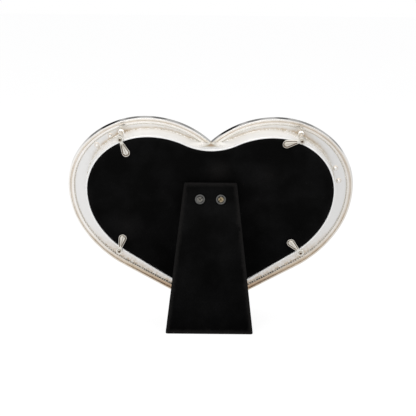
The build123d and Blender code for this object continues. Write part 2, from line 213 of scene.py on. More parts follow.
class Value:
    """A shader output that can stand in a sum."""

    def __init__(self, shader, socket):
        self.shader, self.socket = shader, socket

    def maths(self, operation, *terms, clamp=False):
        return self.shader.node(
            "ShaderNodeMath", dict(enumerate(terms)), operation=operation, use_clamp=clamp)[0]

    def __add__(self, other):
        return self.maths("ADD", self, other)

    def __radd__(self, other):
        return self.maths("ADD", other, self)

    def __sub__(self, other):
        return self.maths("SUBTRACT", self, other)

    def __rsub__(self, other):
        return self.maths("SUBTRACT", other, self)

    def __mul__(self, other):
        return self.maths("MULTIPLY", self, other)

    def __rmul__(self, other):
        return self.maths("MULTIPLY", other, self)

    def clamped(self):
        return self.maths("ADD", self, 0.0, clamp=True)


class Shader:
    """The nodes of a material or of the world."""

    def __init__(self, owner):
        owner.use_nodes = True
        self.owner, self.tree = owner, owner.node_tree
        self.tree.nodes.clear()

    def node(self, kind, inputs=(), **settings):
        """Adds a node, sets it up, feeds its inputs and returns its outputs."""
        made = self.tree.nodes.new(kind)
        for key, value in settings.items():
            if key == "stops":
                self.stops(made.color_ramp, value)
            else:
                setattr(made, key, value)
        for key, value in dict(inputs).items():
            if isinstance(value, Value):
                self.tree.links.new(value.socket, made.inputs[key])
            else:
                made.inputs[key].default_value = value
        return Outputs(self, made)

    @staticmethod
    def stops(ramp, stops):
        while len(ramp.elements) < len(stops):
            ramp.elements.new(1.0)
        for element, (place, colour) in zip(ramp.elements, stops):
            element.position, element.color = place, colour

    def noise(self, scale, detail=3.0, roughness=0.6, stretch=None):
        place = self.place
        if stretch:
            stretched = {"Vector": place, "Scale": stretch}
            place = self.node("ShaderNodeMapping", stretched)["Vector"]
        return self.node("ShaderNodeTexNoise", {
            "Vector": place, "Scale": scale, "Detail": detail, "Roughness": roughness,
        })["Fac"]

    def blend(self, factor, first, second):
        """A colour between two."""
        inputs = {0: factor, 6: first, 7: second}
        return self.node("ShaderNodeMix", inputs, data_type="RGBA")[2]

    def towards(self, direction, wanted):
        """How well a direction agrees with a wanted one."""
        inputs = {0: direction, 1: wanted}
        return self.node("ShaderNodeVectorMath", inputs, operation="DOT_PRODUCT")["Value"]

    def bump(self, height, strength, distance, normal=None):
        inputs = {"Height": height, "Strength": strength, "Distance": distance}
        if normal:
            inputs["Normal"] = normal
        return self.node("ShaderNodeBump", inputs)["Normal"]

    @cached_property
    def place(self):
        return self.node("ShaderNodeTexCoord")["Object"]

    def mark(self, name):
        """A value that a mesh has on each point."""
        return self.node("ShaderNodeAttribute", attribute_name=name)["Fac"]

    def surface(self, inputs):
        """Ends a material with a Principled BSDF and returns the material."""
        shader = self.node("ShaderNodeBsdfPrincipled", inputs)["BSDF"]
        self.node("ShaderNodeOutputMaterial", {"Surface": shader})
        return self.owner


class Outputs:
    """A node's outputs as values, by name or number."""

    def __init__(self, shader, made):
        self.shader, self.made = shader, made

    def __getitem__(self, key):
        return Value(self.shader, self.made.outputs[key])


def rgb(r, g, b):
    return (r, g, b, 1.0)


def grey(value):
    return rgb(value, value, value)


def material(name):
    return Shader(bpy.data.materials.new(name))


def polished_silver(name, bright, warm, roughness, hammer=0.04, metal=1.0,
                    film_and_shade=(0.60, 0.50, 0.385), deep=(0.36, 0.185, 0.085)):
    """Hand polished silver. Where its marks of tarnish and painted shade go from 0 to 3, a film, a
    deep colour and black come over it, and where the satin attribute is 1 it is satin."""
    s = material(name)
    cloud = s.noise(160.0)
    fine = s.noise(2600.0, 2.0)
    lines = s.noise(900.0, 2.0, stretch=(1.0, 0.25, 3.0))
    # The marks read here bring tarnish and painted shade alike: a film, then a deep colour, then
    # black.
    tarnish, satin = s.mark("tarnish"), s.mark("satin")
    soil_and_shade = (tarnish * (0.55 + cloud * 0.9)).clamped()
    amber = ((tarnish - 1.0) * (0.6 + cloud * 0.8)).clamped()
    black = ((tarnish - 2.0) * (0.3 + cloud * 1.4)).clamped()
    clean = s.blend((cloud * 1.6 - 0.3).clamped(), rgb(*bright), rgb(*warm))
    clean = s.blend(satin, clean, rgb(0.765, 0.758, 0.748))
    colour = s.blend(soil_and_shade, clean, rgb(*film_and_shade))
    colour = s.blend(amber, colour, rgb(*deep))
    colour = s.blend(black, colour, rgb(0.035, 0.028, 0.024))
    rough = roughness + lines * 0.05 + soil_and_shade * 0.36 + satin * (0.2 + fine * 0.12)
    height = s.bump(cloud, hammer, 0.0006)
    height = s.bump(fine + satin * lines * 2.0, 0.04, 0.00005, height)
    return s.surface({
        "Base Color": colour, "Metallic": metal, "Roughness": rough, "Normal": height,
    })


def black_velvet():
    """Short black pile, brushed a little one way and another, with lint on it, and darkened towards
    the table as painted shade.
    """
    s = material("black velvet")
    nap = s.noise(55.0, roughness=0.55)
    pile = s.noise(5200.0, 2.0, 0.7)
    tufts = s.noise(1500.0)
    worn = s.mark("worn")
    # low darkens the pile towards the table as painted shade.
    low = (1.0 - s.node("ShaderNodeSeparateXYZ", {0: s.place})["Z"] * 16.0).clamped()
    shade = ((nap - 0.42) * 3.2 * tufts * (1.0 - low * 0.6)).clamped()
    dark = s.blend(low, rgb(0.0032, 0.0032, 0.0031), grey(0.0012))
    colour = s.blend(shade, dark, rgb(0.0115, 0.0115, 0.0118))
    colour = s.blend((worn * tufts * 1.2).clamped(), colour, rgb(0.016, 0.015, 0.0145))
    normal = s.bump(tufts + pile * 0.6, 0.55, 0.0003)
    return s.surface({
        "Base Color": colour, "Roughness": 1.0, "Specular IOR Level": 0.02, "Sheen Weight": 0.03,
        "Sheen Roughness": 0.5, "Sheen Tint": rgb(0.30, 0.30, 0.34), "Normal": normal,
    })


def clear_glass():
    s = material("picture glass")
    smear = s.noise(70.0)
    return s.surface({
        "Base Color": rgb(0.96, 0.985, 0.975), "Roughness": smear * 0.03,
        "Transmission Weight": 1.0, "IOR": 1.5,
    })


def picture_paper():
    s = material("picture paper")
    fibre = s.noise(1800.0)
    tone = s.noise(14.0, 1.0, 0.5)
    colour = s.blend(tone, rgb(0.84, 0.82, 0.78), rgb(0.90, 0.88, 0.85))
    normal = s.bump(fibre, 0.1, 0.00005)
    return s.surface({"Base Color": colour, "Roughness": 0.42 + fibre * 0.08, "Normal": normal})


def grey_card():
    s = material("grey card")
    pulp = s.noise(900.0, 4.0, 0.7)
    fleck = s.noise(3400.0, 2.0)
    colour = s.blend(pulp, rgb(0.24, 0.22, 0.19), rgb(0.36, 0.33, 0.29))
    normal = s.bump(pulp + fleck, 0.25, 0.00008)
    return s.surface({"Base Color": colour, "Roughness": 0.9, "Normal": normal})


def pearl_coat():
    s = material("pearl coat")
    cloud = s.noise(500.0, 2.0, 0.5)
    colour = s.blend(cloud, rgb(0.86, 0.82, 0.76), rgb(0.93, 0.88, 0.86))
    return s.surface({
        "Base Color": colour, "Roughness": 0.22 + cloud * 0.1,
        "Coat Weight": 0.6, "Coat Roughness": 0.08, "Subsurface Weight": 0.1,
        "Subsurface Radius": (0.6, 0.5, 0.45), "Subsurface Scale": 0.001,
    })


def plain_steel():
    s = material("hinge steel")
    grain = s.noise(1200.0, stretch=(0.15, 2.0, 2.0))
    spots = s.noise(300.0)
    colour = s.blend(spots, rgb(0.42, 0.41, 0.39), rgb(0.56, 0.55, 0.53))
    return s.surface({
        "Base Color": colour, "Metallic": 1.0, "Roughness": 0.32 + grain * 0.16,
        "Normal": s.bump(grain, 0.1, 0.00005),
    })


def rivet_nickel():
    """Nickel plate, worn to brass where the attribute says so."""
    s = material("rivet nickel")
    cloud, worn = s.noise(900.0), s.mark("worn")
    plate = s.blend(cloud, grey(0.055), rgb(0.145, 0.145, 0.14))
    colour = s.blend((worn * (0.5 + cloud)).clamped(), plate, rgb(0.30, 0.22, 0.10))
    return s.surface({
        "Base Color": colour, "Metallic": 1.0, "Roughness": 0.26 + cloud * 0.16,
        "Normal": s.bump(cloud, 0.15, 0.0001),
    })


silver = polished_silver(
    "face silver", (0.89, 0.885, 0.875), (0.88, 0.865, 0.835), roughness=0.06)
# A brighter copy of the face's silver, as painted light, so that the wall shows as bright as its
# highlights.
gallery_silver = polished_silver(
    "gallery silver", (0.975, 0.97, 0.96), (0.955, 0.95, 0.93), roughness=0.22,
    metal=0.32, film_and_shade=(0.56, 0.515, 0.42))
button_silver = polished_silver(
    "button silver", (0.79, 0.775, 0.735), (0.66, 0.64, 0.585), roughness=0.18,
    hammer=0.2, film_and_shade=(0.50, 0.455, 0.39), deep=(0.19, 0.13, 0.085))
velvet = black_velvet()
nickel = rivet_nickel()
steel = plain_steel()
card = grey_card()
pearl = pearl_coat()


# Mesh work


def mesh_of(name, points, faces, near, **marks):
    """A closed mesh, with points merged that are near each other, and its faces turned outwards."""
    mesh = bpy.data.meshes.new(name)
    mesh.from_pydata([tuple(p) for p in points], [], [tuple(f) for f in faces])
    for key, values in marks.items():
        made = mesh.attributes.new(key, "FLOAT", "POINT")
        made.data.foreach_set("value", np.asarray(values, np.float32))
    edit = bmesh.new()
    edit.from_mesh(mesh)
    bmesh.ops.remove_doubles(edit, verts=edit.verts, dist=near)
    bmesh.ops.dissolve_degenerate(edit, edges=edit.edges, dist=1e-7)
    bmesh.ops.recalc_face_normals(edit, faces=edit.faces)
    edit.to_mesh(mesh)
    edit.free()
    return mesh


def piece(name, points, faces, finish, nodes, body="frame", slot="polished_silver", angle=30,
          **marks):
    """Makes a closed piece, smooth up to an angle, with marks on its points for the shaders."""
    mesh = mesh_of(name, points, faces, 2e-6, **marks)
    mesh.shade_smooth()
    mesh.set_sharp_from_angle(angle=radians(angle))
    return placed(name, mesh, finish, nodes, body)


def added(name, data):
    """A new object in the scene."""
    made = bpy.data.objects.new(name, data)
    bpy.context.scene.collection.objects.link(made)
    return made


def baked(made):
    """The plain mesh that an object's modifiers make."""
    bpy.context.view_layer.update()
    evaluated = made.evaluated_get(bpy.context.evaluated_depsgraph_get())
    return bpy.data.meshes.new_from_object(evaluated)


def placed(name, mesh, finish, nodes, body="frame"):
    """Puts a mesh in the scene on a body, in the place of nodes of the model."""
    made = added(name, mesh)
    mesh.materials.clear()
    mesh.materials.append(finish)
    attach(made, body)
    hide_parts(*nodes)
    return made


def rounded(points, radii, steps=4):
    """A profile whose corners are rounded, each by its own radius."""
    out = []
    count = len(points)
    for k, radius in enumerate(np.broadcast_to(radii, count)):
        p = np.array(points[k], float)
        a, b = np.array(points[k - 1], float) - p, np.array(points[(k + 1) % count], float) - p
        la, lb = hypot(*a), hypot(*b)
        half = acos(np.clip(a @ b / (la * lb), -1, 1)) / 2
        if radius <= 0 or half > pi / 2 - 0.02:
            out.append(p)
            continue
        cut = min(radius / tan(half), la * 0.45, lb * 0.45)
        start, end = p + a / la * cut, p + b / lb * cut
        for j in range(steps + 1):
            t = j / steps
            out.append((1 - t) ** 2 * start + 2 * t * (1 - t) * p + t * t * end)
    return np.array(out)


def ring_faces(count, rows, closed):
    """Quads of a grid whose columns go round, over rows that are closed or not."""
    faces = []
    for i in range(count):
        j = (i + 1) % count
        for k in range(rows if closed else rows - 1):
            m = (k + 1) % rows
            faces.append((i * rows + k, j * rows + k, j * rows + m, i * rows + m))
    return faces


def swept(outline, profile, limit=None):
    """Points of a profile of (outward, depth) taken round an outline, and no further in than a
    limit."""
    out, depth = profile[:, 0], profile[:, 1]
    amount = np.tile(out, (len(outline.points), 1))
    if limit is not None:
        amount = np.maximum(amount, -limit[:, None])
    flat = outline.points[:, None] + outline.normals[:, None] * amount[:, :, None]
    deep = np.broadcast_to(depth, amount.shape)[:, :, None]
    return np.concatenate([flat, deep], 2).reshape(-1, 3)


def filled(loops, keep, inner=()):
    """Triangles of the flat area between loops, where keep says so, with more points inside."""
    points, edges = [], []
    for loop in loops:
        first = len(points)
        points += [tuple(p) for p in loop]
        edges += [(first + k, first + (k + 1) % len(loop)) for k in range(len(loop))]
    points += [tuple(p) for p in inner]
    made = delaunay_2d_cdt([Vector(p) for p in points], edges, [], 0, 1e-6)
    flat = np.array([tuple(p) for p in made[0]])
    tris = np.array([f for f in made[2] if len(f) == 3])
    middle = flat[tris].mean(1)
    return flat, tris[keep(middle)]


def strewn(outline, spacing, seed, shake):
    """A grid of points over an outline, each moved at random by up to a share of the spacing."""
    low, high = outline.min(0), outline.max(0)
    gx, gy = np.meshgrid(np.arange(low[0], high[0], spacing), np.arange(low[1], high[1], spacing))
    points = np.column_stack([gx.ravel(), gy.ravel()])
    return points + np.random.default_rng(seed).uniform(-shake, shake, points.shape) * spacing


def nearest(points, loop):
    """How far each point is from the nearest point of a loop."""
    return np.array([np.hypot(*(loop - p).T).min() for p in points])


class Mesh:
    """Collects points, faces and up to two marks on each point."""

    def __init__(self):
        self.points, self.faces, self.marks, self.more = [], [], [], []

    def add(self, points, faces, mark=0.0, more=0.0):
        first = sum(len(p) for p in self.points)
        points = np.asarray(points, float)
        self.points.append(points)
        self.faces += [tuple(int(i) + first for i in f) for f in faces]
        self.marks.append(np.broadcast_to(mark, len(points)))
        self.more.append(np.broadcast_to(more, len(points)))

    def finished(self):
        return np.vstack(self.points), self.faces, np.concatenate(self.marks)


def lathe(profile, at, count=AROUND):
    """Points and faces of a profile of (radius, depth) turned about a point of a panel."""
    turn = np.arange(count) * 2 * pi / count
    profile = np.asarray(profile, float)
    x = at[0] + profile[:, 0] * np.cos(turn)[:, None]
    y = at[1] + profile[:, 0] * np.sin(turn)[:, None]
    z = np.broadcast_to(profile[:, 1], x.shape)
    return np.stack([x, y, z], 2).reshape(-1, 3), ring_faces(count, len(profile), False)


# The face: its stepped border, its sheet and the raised rail round the sight opening


def inward_reach():
    """How far in each point of the outline can go, near the notch, before it meets the gallery."""
    unlimited = 99.0
    reach = np.full(len(face.points), unlimited)
    near = np.where((np.abs(face.points[:, 0]) < 22) & (face.points[:, 1] > 90))[0]
    for i in near:
        t = np.linspace(0, 8, 400)
        line = face.points[i] - face.normals[i] * t[:, None]
        inside = np.where(board.outside(line, OUTSIDE) < 0)[0]
        if len(inside):
            reach[i] = t[inside[0]]
    return reach


def border_marks(heights, inward, on_back):
    """Tarnish on the border, more low down, with tarnish and painted shade in its groove and at its
    foot, and painted shade on its right side.
    """
    x, y = face.points[:, :1], face.points[:, 1:]
    low = fade(heights, BAND + 0.25, BAND) * on_back
    groove = low * (np.abs(inward - LIP - GROOVE / 2) < GROOVE * 0.75)
    foot = low * (inward > BORDER - 0.2) * (inward < BORDER + 0.25)
    film_and_shade = on_back * (inward < BORDER - 0.1) * (inward > 0.5)
    # down and deep bring tarnish low down; right darkens the right side as painted shade.
    down, deep, right = fade(y, 48, 10), fade(y, 26, 14), fade(x, 30, 60)
    marks = (0.22 + 0.55 * down + 0.2 * deep + 0.16 * right) * film_and_shade
    # The groove and the foot take tarnish and painted shade.
    marks = marks + (0.4 + 0.1 * down + 0.1 * deep) * groove + 0.45 * foot
    return marks + 0.5 * down * film_and_shade * (inward > LIP + GROOVE - 0.05)


def face_piece(reach):
    """The border's ring and the rail's, joined by flat sheets with holes, back and front."""
    step, ledge = BAND + STRIP_HEIGHT, BAND + LIP_HEIGHT
    back = rounded([
        (-BORDER - 0.3, BAND), (-BORDER, BAND), (-BORDER, step), (-LIP - GROOVE, step),
        (-LIP - GROOVE, BAND), (-LIP, BAND), (-LIP, ledge), (-0.4, ledge),
        (0, BORDER_FRONT + 0.2), (0, BORDER_FRONT), (-BORDER, BORDER_FRONT),
        (-BORDER, FRONT_RELIEF),
    ], [0, 0.08, 0.14, 0.16, 0.16, 0.18, 0.2, 0.14, 0.3, 0.1, 0.15, 0])
    heights, inward = back[:, 1], -back[:, 0]
    mesh = Mesh()
    on_back = heights > BAND - 0.01
    ring = swept(face, back).reshape(len(face.points), -1, 3)
    held = swept(face, back, reach).reshape(len(face.points), -1, 3)
    ring[:, on_back] = held[:, on_back]
    mesh.add(ring.reshape(-1, 3), ring_faces(len(face.points), len(back), False),
             border_marks(heights, inward, on_back).ravel(),
             np.tile(inward > BORDER + 0.25, len(face.points)))
    rail = rounded([
        (RAIL - REBATE, FRONT_RELIEF), (RAIL - REBATE, 0), (-REBATE, 0), (-REBATE, BAND),
    ], [0, 0.5, 0.5, 0])
    mesh.add(swept(board, rail), ring_faces(len(board.points), len(rail), False))
    for depth, outer, hole, more in (
        (BAND, ring[:, 0, :2], -REBATE, scattered()),
        (FRONT_RELIEF, ring[:, -1, :2], RAIL - REBATE, ()),
    ):
        loop = np.vstack([outer, outer[:1]])
        loop = loop[:-1][np.hypot(*(loop[1:] - loop[:-1]).T) > 1e-5]
        flat, tris = filled(
            [loop, board.grown(hole)],
            lambda middle: (board.outside(middle, hole) > 0) & (
                face.outside(middle, -BORDER) < 0.02),
            more)
        marks = band_marks(flat) if depth == BAND else 0.0
        sheet = np.column_stack([flat, np.full(len(flat), depth)])
        mesh.add(sheet, tris, marks, float(depth == BAND))
    points, faces, marks = mesh.finished()
    made = piece("silver_face", on_face(points), faces, silver, ["face_plate"], angle=28,
                 tarnish=marks, satin=np.concatenate(mesh.more))
    for polygon in made.data.polygons:
        level = abs(float(np.array(polygon.normal) @ FACE_AXES[2])) > 0.9999
        polygon.use_smooth = not (level and len(polygon.vertices) == 3)


def scattered():
    """Points strewn over the flat band between the gallery and the border."""
    points = strewn(face.points, 0.7, 6, 0.3)
    free = board.outside(points, OUTSIDE + 0.3) > 0
    return points[free & (face.outside(points, -BORDER - 0.6) < 0)]


def band_marks(points):
    """Marks on the flat band: painted shade along the gallery at the lobes, tarnish along the
    border low down, and blotches round the posts."""
    x, y = np.abs(points[:, 0]), points[:, 1]
    away = board.outside(points, OUTSIDE)
    lobes = fade(y, 84, 92) * fade(x, 64, 56) * (away > 0)
    random = np.random.default_rng(8)
    # Painted shade where the band meets the foot of the gallery at the lobes.
    marks = 0.85 * bell(away, 1.3) * lobes * random.uniform(0.6, 1.4, len(points))
    inner = np.maximum(-BORDER - face.outside(points), 0)
    low = fade(y, 52, 36) * random.uniform(0.3, 1.7, len(points))
    marks += low * (0.18 + 0.6 * bell(inner, 1.8))
    for at in post_points.values():
        marks += bell(np.hypot(*(points - at).T), 4.5) * random.uniform(0.1, 0.7, len(points))
    return marks


def gallery_piece():
    """The wall round the board, with the solder run along its outer foot. Its marks bring tarnish,
    and painted shade at its foot, in the notch and on its right side.
    """
    foot = [(OUTSIDE + 0.45, BAND - 0.02), (OUTSIDE + 0.2, BAND + 0.07),
            (OUTSIDE + 0.06, BAND + 0.22), (OUTSIDE, BAND + 0.5)]
    side = [(OUTSIDE, BAND + 0.5 + step) for step in np.arange(0.7, 7.1, 0.7)]
    top = rounded([(OUTSIDE, RIM - 1.5), (OUTSIDE, RIM), (FIT, RIM), (FIT, BAND)], [0, 0.3, 0.2, 0])
    profile = np.vstack([foot, side, top])
    outer = profile[:, 0] > FIT + 0.1
    # The solder at the foot takes tarnish in ticks, and painted shade where the wall meets the
    # band.
    mark = np.where(profile[:, 1] < BAND + 0.4, 0.75, 0.0) * outer
    x, y = board.points.T
    up = profile[:, 1] - BAND
    top_side = (y > 60)[:, None] * outer * (up < 8.2)
    # In the notch a pair of lines and a spot on the wall are painted shade.
    cross = bell(np.abs(x)[:, None] - 1.4 * np.maximum(up - 3.4, 0), 0.9) * top_side
    notch_shade = bell(x[:, None], 2.8) * bell(up - 4.0, 2.6) * top_side
    near = sum(bell(np.hypot(*(board.points - at).T), 8.0) for at in post_points.values())
    random = np.random.default_rng(4)
    ticks = random.uniform(0.1, 1.35, len(x)) * (1 + 0.7 * near)
    # On the right side the wall takes tarnish and painted shade.
    right = (fade(x, 36, 48) * fade(y, 52, 66))[:, None]
    patchy = random.uniform(0.1, 1.0, (len(x), len(up)))
    stain_and_shade = right * bell(up - 1.6, 2.4) * outer * patchy
    marks = mark * ticks[:, None] * (1 - 0.45 * right) + 1.35 * notch_shade + 0.6 * cross + 0.9 * stain_and_shade
    piece("gallery_wall_silver", on_face(swept(board, profile)),
          ring_faces(len(board.points), len(profile), True), gallery_silver, ["gallery_wall"],
          tarnish=marks.ravel())


# Beaded wire at the foot of the border


def bead_tree(finish):
    """Geometry nodes that set beads on a path, on a thin wire."""
    tree = bpy.data.node_groups.new("beaded wire", "GeometryNodeTree")
    socket = tree.interface.new_socket
    socket("Path", in_out="INPUT", socket_type="NodeSocketGeometry")
    sizes = {label: socket(label, in_out="INPUT", socket_type="NodeSocketFloat")
             for label in ("Pitch", "Bead Radius", "Wire Radius")}
    socket("Beads", in_out="OUTPUT", socket_type="NodeSocketGeometry")
    new = tree.nodes.new
    given, result = new("NodeGroupInput"), new("NodeGroupOutput")
    path, spread = new("GeometryNodeMeshToCurve"), new("GeometryNodeResampleCurve")
    bead, beads = new("GeometryNodeMeshIcoSphere"), new("GeometryNodeInstanceOnPoints")
    section, wire = new("GeometryNodeCurvePrimitiveCircle"), new("GeometryNodeCurveToMesh")
    both, real = new("GeometryNodeJoinGeometry"), new("GeometryNodeRealizeInstances")
    smooth, paint = new("GeometryNodeSetShadeSmooth"), new("GeometryNodeSetMaterial")
    tarnish_and_gap_shade = new("GeometryNodeStoreNamedAttribute")
    # This node darkens the wire between the beads, as tarnish and as painted shade between them.
    tarnish_and_gap_shade.inputs["Name"].default_value, tarnish_and_gap_shade.inputs["Value"].default_value = "tarnish", 1.8
    spread.mode = "LENGTH"
    bead.inputs["Subdivisions"].default_value = 2
    section.inputs["Resolution"].default_value = 8
    paint.inputs["Material"].default_value = finish
    for source, output, target, fed in (
        (given, "Path", path, "Mesh"), (path, "Curve", spread, "Curve"),
        (given, "Pitch", spread, "Length"), (given, "Bead Radius", bead, "Radius"),
        (given, "Wire Radius", section, "Radius"), (spread, "Curve", beads, "Points"),
        (bead, "Mesh", beads, "Instance"), (spread, "Curve", wire, "Curve"),
        (section, "Curve", wire, "Profile Curve"), (wire, "Mesh", tarnish_and_gap_shade, "Geometry"),
        (beads, "Instances", both, "Geometry"), (tarnish_and_gap_shade, "Geometry", both, "Geometry"),
        (both, "Geometry", real, "Geometry"), (real, "Geometry", smooth, "Geometry"),
        (smooth, "Geometry", paint, "Geometry"), (paint, "Geometry", result, "Beads"),
    ):
        tree.links.new(source.outputs[output], target.inputs[fed])
    return tree, sizes


def grown_from(name, points, tree, values):
    """The plain mesh that geometry nodes grow along a line of points."""
    seed = bpy.data.meshes.new(name + " path")
    seed.from_pydata([tuple(p) for p in points], [(k, k + 1) for k in range(len(points) - 1)], [])
    holder = added(name + " path", seed)
    modifier = holder.modifiers.new("grow", "NODES")
    modifier.node_group = tree
    for socket, value in values:
        modifier[socket.identifier] = value
    mesh = baked(holder)
    bpy.data.objects.remove(holder)
    return mesh


def beading_piece(reach):
    """The beaded wire, from one side of the notch round the tip to the other, soiled low down, with
    the wire between the beads darkened as painted shade.
    """
    inset = BORDER + BEAD / 2
    free = reach > inset + 0.4
    start = int(np.where(~free)[0].max()) + 1
    order = (np.arange(len(free)) + start) % len(free)
    order = order[free[order]]
    line = face.grown(-inset)[order]
    path = on_face(np.column_stack([line, np.full(len(line), BAND + 0.02)]))
    tree, sizes = bead_tree(button_silver)
    values = {"Pitch": 1.4, "Bead Radius": 0.43, "Wire Radius": 0.24}
    mesh = grown_from("beading", path, tree, [(sizes[k], v * MM) for k, v in values.items()])
    mesh.name = "border_beads"
    tarnish_and_gap_shade = mesh.attributes["tarnish"].data
    across, _, height = np.array([vertex.co for vertex in mesh.vertices]).T / MM
    on_wire = np.array([mark.value for mark in tarnish_and_gap_shade])
    patchy = np.clip(0.5 + 0.5 * np.sin(across * 3.3) + 0.35 * np.sin(across * 1.13 + 1), 0.05, 1)
    low = fade(height, 42, 22) * patchy
    # The wire stays darker as painted shade between the beads; the low parts take tarnish.
    marks = (on_wire > 0) * (0.3 + 3.4 * low) + 0.2 + 0.7 * low
    tarnish_and_gap_shade.foreach_set("value", marks.astype(np.float32))
    placed("border_beads", mesh, button_silver, ["border_beading"])


# Posts, rivets and turn buttons

post_points = {
    f"{row}_{hand}": beside(arc, share, OUTSIDE + 0.05 + POST_RADIUS, side)
    for row, arc, share in (("upper", board.upper[1], 0.35), ("lower", board.lower[0], 0.18))
    for hand, side in (("left", -1), ("right", 1))
}


def post_piece(name, at):
    """A post with a bead of solder round its foot and the rivet's bore in its end."""
    r, end = POST_RADIUS, POST_BACK
    profile = [(0, BAND - 0.05), (r + 0.62, BAND - 0.05), (r + 0.7, BAND + 0.3),
               (r + 0.6, BAND + 0.75), (r + 0.3, BAND + 1.15), (r, BAND + 1.35), (r, end - 0.15),
               (r - 0.05, end - 0.04), (r - 0.15, end), (POST_HOLE, end), (POST_HOLE, HOLE_END),
               (0, HOLE_END)]
    points, faces = lathe(profile, at)
    # The marks darken the solder where the post meets the band, as painted shade.
    marks = np.tile([0.5, 0.7, 0.1, 0.0, 0.0, 0.2] + [0.1] * 6, AROUND)
    piece(f"post_{name}", on_face(points), faces, silver, [f"button_post_{name}"], tarnish=marks)


def rivets_piece():
    """Half hollow rivets: a rolled head with a dark hole in its middle."""
    mesh = Mesh()
    seat = BUTTON_FRONT + BUTTON_SHEET + BUTTON_EDGE + 0.05
    profile = [(0, SHANK_END), (SHANK, SHANK_END), (SHANK, seat), (1.02, seat), (1.1, seat + 0.1),
               (1.08, seat + 0.24), (0.97, seat + 0.38), (0.8, seat + 0.48), (0.62, seat + 0.47),
               (0.48, seat + 0.34), (0.42, seat + 0.1), (0.34, seat - 0.12), (0, seat - 0.16)]
    marks = [0.9] * 4 + [1.3, 1.1, 0.7, 0.8, 1.3, 1.9, 2.2, 2.3, 2.3]
    for at in post_points.values():
        points, faces = lathe(profile, at)
        mesh.add(points, faces, np.tile(marks, AROUND))
    points, faces, marks = mesh.finished()
    piece("button_rivets", on_face(points), faces, button_silver, ["turn_button_rivets"],
          angle=40, tarnish=marks)


def blade_half_width(x):
    """Half the width of a turn button along its length, from the eye to the round tip."""
    lean_in = asin((TIP - NECK) / (TIP_AT - NECK_AT))
    taper = (NECK + (x - NECK_AT) * sin(lean_in)) / cos(lean_in)
    end = TIP_AT - TIP * sin(lean_in)
    tip = sqrt(max(0.0, TIP**2 - (x - TIP_AT) ** 2)) if x > end else taper
    eye = sqrt(max(0.0, EYE**2 - x * x)) if abs(x) < EYE else 0.0
    if 0 < x < NECK_AT:
        soft = 0.5
        return max(eye, tip) + soft * max(0.0, 1 - abs(eye - tip) / soft) ** 2 * 0.25
    return tip if x > 0 else eye


def button_height(x, y, edge):
    """Height of the blade's back over its sheet: a raised border, a hollow, and veins of a leaf."""
    border = fade(edge, 0, 0.16) ** 0.5 * BUTTON_EDGE
    fall, along = fade(edge, 0.34, 0.50), fade(x, 2.9, 3.5)
    hollow = border - fall * along * (BUTTON_EDGE + 0.02) * np.clip((1.15 - edge) / 0.4, 0.35, 1)
    rib = bell(y, 0.11) * 0.2
    slant = np.sin((x + np.abs(y) * 1.25) * 2 * pi / 1.02)
    veins = np.clip(slant, 0, 1) * 0.14 * fade(edge, 0.4, 0.55)
    leaf = (rib + veins) * along * fall * (x > 3.2)
    return hollow + leaf


def button_piece(name, at):
    """A turn button: a grid of points along and across its blade, with a wall round it."""
    columns, chamfer = 33, 0.06
    x = np.concatenate([
        -EYE * np.cos(np.linspace(0, pi / 2, 14))[:-1], np.linspace(0, 2.4, 12)[:-1],
        np.linspace(2.4, TIP_AT, 64)[:-1], TIP_AT + TIP * np.sin(np.linspace(0, pi / 2, 16)),
    ])
    across = np.sin(np.linspace(-pi / 2, pi / 2, columns))
    half = np.array([blade_half_width(v) for v in x])
    half[0] = half[-1] = 0.0
    gx, gy = np.broadcast_to(x[:, None], (len(x), columns)), half[:, None] * across
    outline = np.vstack([np.column_stack([x, half]), np.column_stack([x[::-1], -half[::-1]])])
    flat = np.column_stack([gx.ravel(), gy.ravel()])
    edge = np.sqrt(((flat[:, None] - outline[None]) ** 2).sum(2)).min(1)
    edge = np.where(np.abs(across)[None].repeat(len(x), 0).ravel() > 0.999, 0.0, edge)
    top = BUTTON_SHEET - chamfer + button_height(flat[:, 0], flat[:, 1], edge)
    grid = [(k, k + columns, k + columns + 1, k + 1)
            for i in range(len(x) - 1) for k in range(i * columns, (i + 1) * columns - 1)]
    mesh = Mesh()
    line = bell(edge - 0.58, 0.2) * (flat[:, 0] > 2.6)
    base = 0.3 if name == "upper_right" else 0.1
    stem = bell(flat[:, 1], 0.16) * (flat[:, 0] > 3.4) * (edge > 0.7)
    mesh.add(np.column_stack([flat, top]), grid, base + 3.0 * line + 1.2 * stem)
    below = np.where(edge < 0.02, chamfer, 0.0)
    mesh.add(np.column_stack([flat, below]), [f[::-1] for f in grid])
    count = len(x)
    for j, flip in ((0, 1), (columns - 1, -1)):
        rows = np.arange(count) * columns + j
        wall = np.vstack([np.column_stack([flat[rows], top[rows]]),
                          np.column_stack([flat[rows], np.full(count, chamfer)])])
        mesh.add(wall, [(k, k + 1, count + k + 1, count + k)[::flip] for k in range(count - 1)])
    points, faces, marks = mesh.finished()
    turn = radians(HEADINGS[name])
    c, s = cos(turn), sin(turn)
    x, y, height = points.T
    local = np.column_stack([at[0] + x * c - y * s, at[1] + x * s + y * c, height + BUTTON_FRONT])
    made = piece(f"button_{name}", on_face(local), faces, button_silver,
                 [f"turn_button_{name}"], f"button_{name}", angle=38, tarnish=marks)
    bore(made, at)


def bore(made, at):
    """Cuts the rivet's hole through a button."""
    profile = [(0, RIM - 1), (BUTTON_HOLE, RIM - 1), (BUTTON_HOLE, RIM + 3), (0, RIM + 3)]
    points, faces = lathe(profile, at, DRILL_SIDES)
    tool = added("drill", mesh_of("drill", on_face(points), faces, 1e-7))
    cut = made.modifiers.new("hole", "BOOLEAN")
    cut.operation, cut.object, cut.solver = "DIFFERENCE", tool, "EXACT"
    result = baked(made)
    made.modifiers.clear()
    made.data = result
    bpy.data.objects.remove(tool)


# Ornaments on the front, with the solder round their pegs behind

peg_points = [beside(face.upper[1], share, -5.7, -1) for share in (0.36, 0.07)]
peg_points += [beside(face.upper[0], share, -7.5, 1) for share in (0.19, 0.52)]


